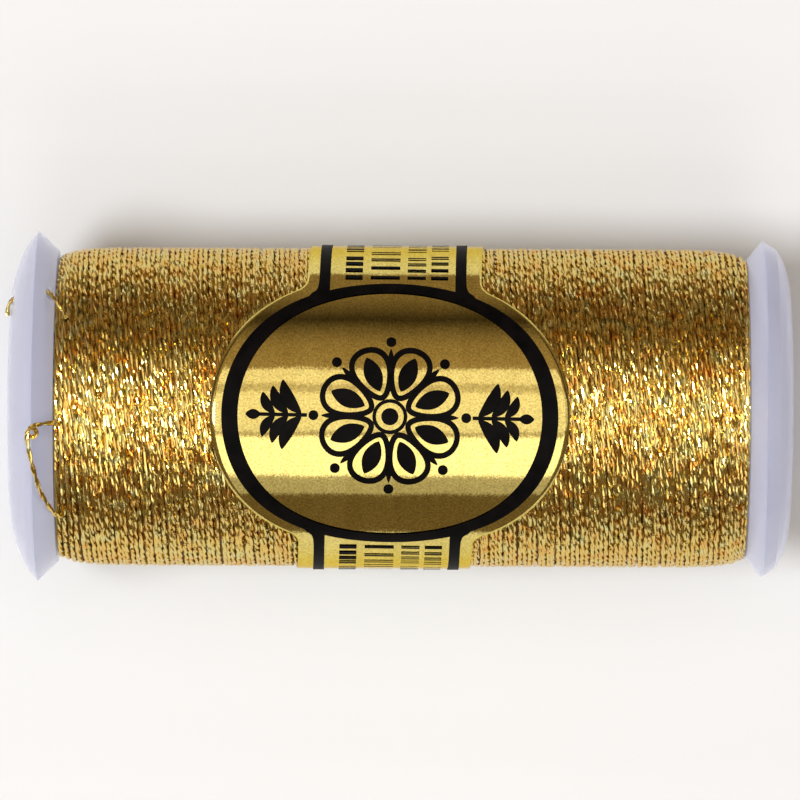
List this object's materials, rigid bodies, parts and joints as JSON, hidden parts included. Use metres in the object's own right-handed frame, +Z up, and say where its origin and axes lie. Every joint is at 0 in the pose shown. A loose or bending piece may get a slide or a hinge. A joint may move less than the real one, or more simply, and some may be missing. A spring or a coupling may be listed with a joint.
{
  "type": "spool of thread",
  "caption": "Snap-end spool wound with gold metallised thread, held by a foil band with an oval badge; the domed end caps pull out a little.",
  "frame": {"origin": "on the surface that the spool lies on, under the middle of its length", "axes": "+X along the spool axis towards the end with the smaller rim, +Z up, -Y towards the front of the badge"},
  "size_m": [0.0567, 0.0254, 0.0259],
  "materials": {
    "spool_plastic": "milky translucent moulded plastic with a faint lilac tint",
    "metallised_thread": "twisted two-ply thread of gold metallised film, sparkling",
    "gold_foil": "brushed gold foil film with black print"
  },
  "bodies": {
    "spool": {"spool_body": "spool_plastic", "thread_winding": "metallised_thread", "foil_label": "gold_foil", "thread_loop": "metallised_thread", "thread_end": "metallised_thread"},
    "left_cap": {"left_snap_cap": "spool_plastic", "thread_tip": "metallised_thread"},
    "right_cap": {"right_snap_cap": "spool_plastic"}
  },
  "joints": [
    {"name": "left_cap_slide", "type": "slide", "parent": "spool", "child": "left_cap", "axis": [-1, 0, 0], "range_m": [0, 0.0008]},
    {"name": "right_cap_slide", "type": "slide", "parent": "spool", "child": "right_cap", "axis": [1, 0, 0], "range_m": [0, 0.0008]}
  ]
}
